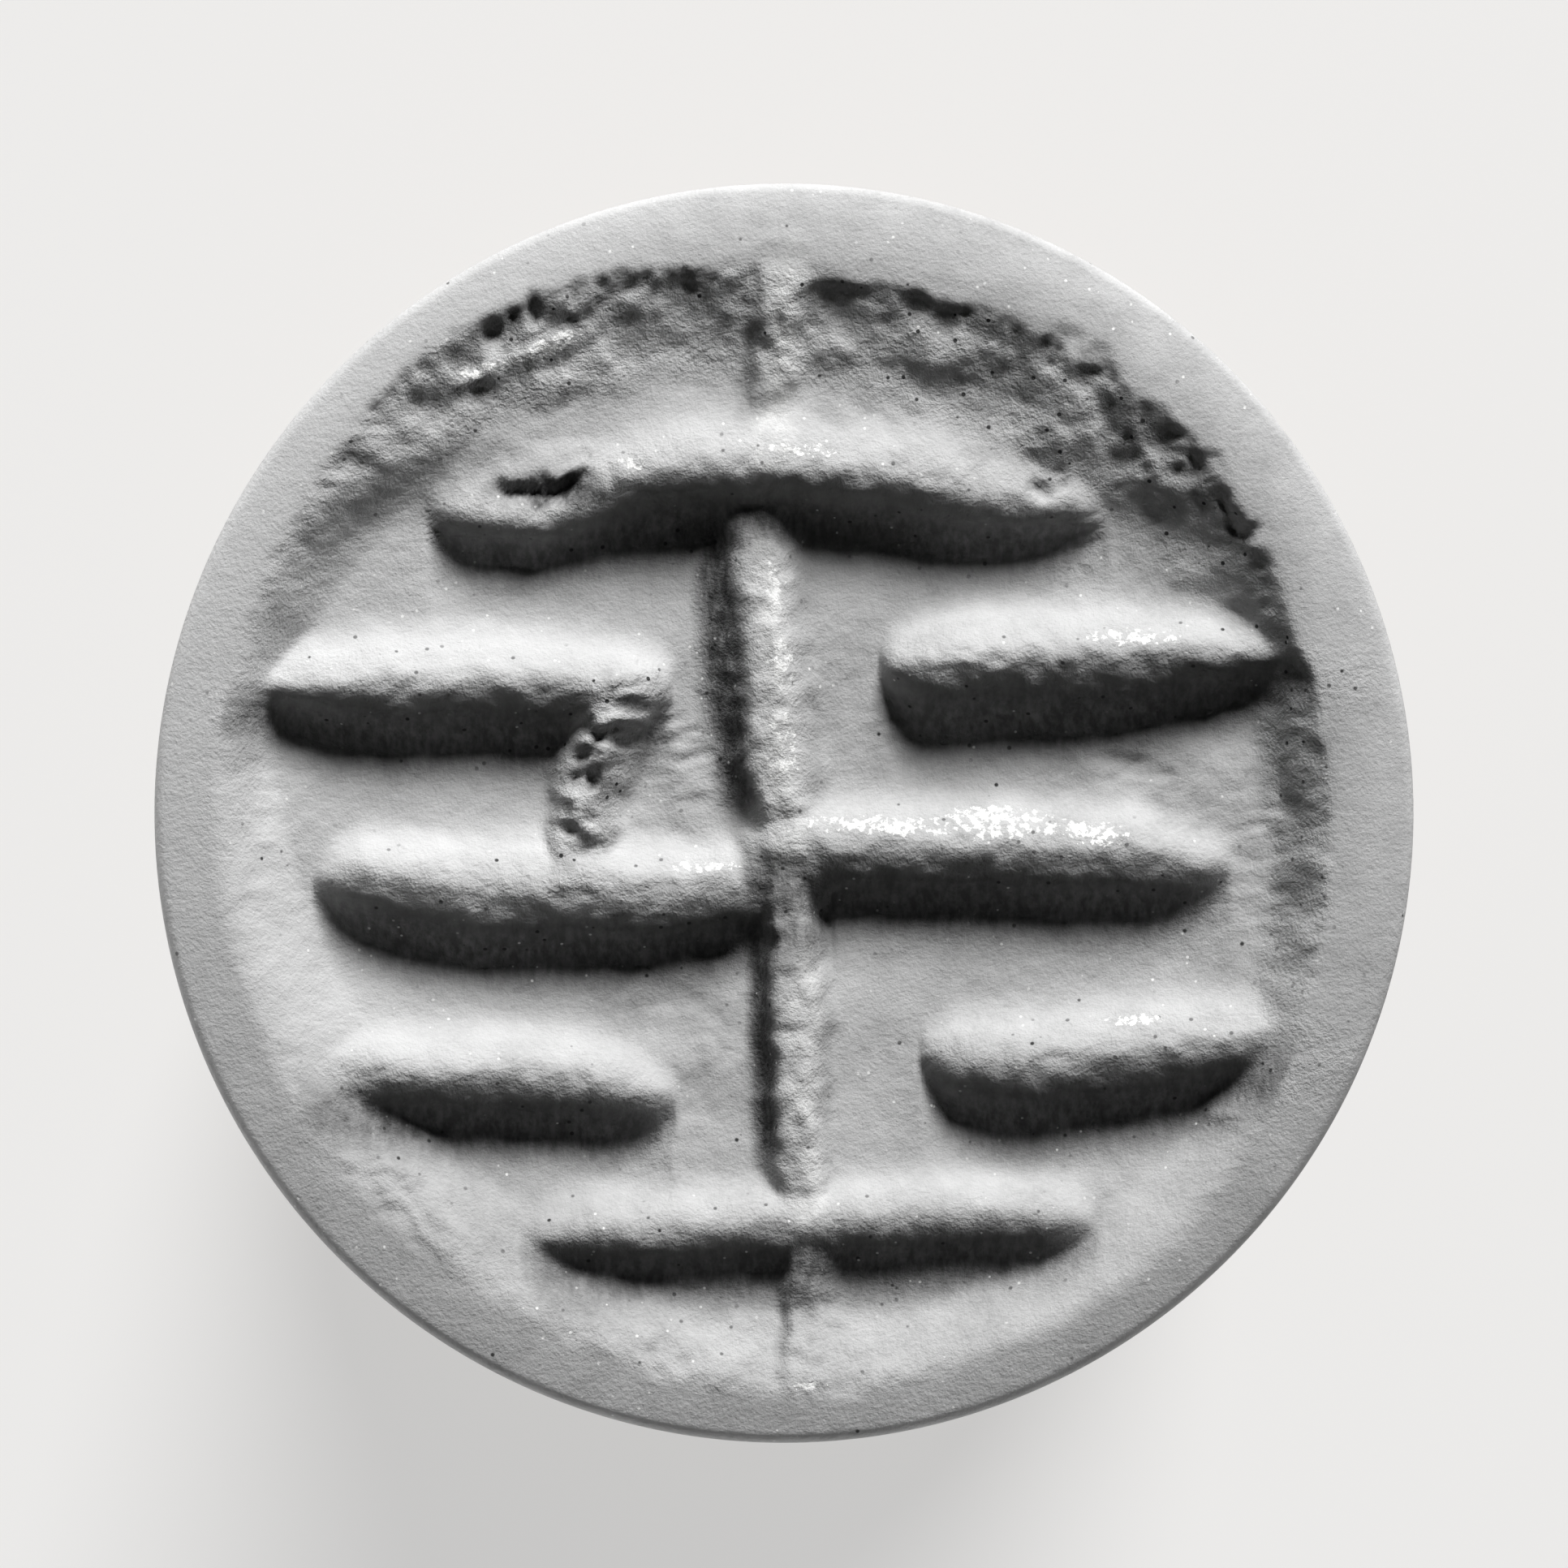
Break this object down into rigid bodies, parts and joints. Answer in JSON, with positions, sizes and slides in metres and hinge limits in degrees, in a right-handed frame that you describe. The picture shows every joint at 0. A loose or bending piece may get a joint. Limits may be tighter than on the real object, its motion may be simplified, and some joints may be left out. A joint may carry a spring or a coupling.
{
  "type": "hand seal",
  "caption": "Hand seal with a round carved stone die, its relief of bars on a stem, screwed by a brass cup onto a turned wooden handle that stands on a flat brass butt.",
  "frame": {"origin": "centre of the butt plate's underside, where the seal stands", "axes": "+Z along the handle from the butt to the carved face, +Y towards the top of the carved device, +X to its right as seen from above the face"},
  "size_m": [0.025, 0.025, 0.0804],
  "materials": {
    "grey_stone": "matte carved soft stone, fine grain",
    "cement": "brown setting cement",
    "aged_brass": "turned, lightly aged",
    "steel": "turned screw steel",
    "leather": "pressed washer leather",
    "walnut": "turned and oiled"
  },
  "bodies": {
    "grip": {"handle": "walnut", "thread_insert": "aged_brass", "ferrule": "aged_brass", "ferrule_pin_left": "aged_brass", "ferrule_pin_right": "aged_brass", "index_stud": "aged_brass", "butt_plate": "aged_brass", "butt_screw": "steel"},
    "washer": {"friction_washer": "leather"},
    "head": {"seal_die": "grey_stone", "die_bedding": "cement", "die_cup": "aged_brass", "head_screw": "steel"}
  },
  "joints": [
    {"name": "head_travel", "type": "slide", "parent": "grip", "child": "washer", "axis": [0, 0, 1], "range_m": [0, 0.00765]},
    {"name": "head_turn", "type": "hinge", "parent": "washer", "child": "head", "pos_m": [0, 0, 0.0621], "axis": [0, 0, 1], "range_deg": [0, 2160]}
  ],
  "couplings": [
    {"joint": "head_travel", "follows": "head_turn", "m_per_rad": 0.00020213}
  ]
}
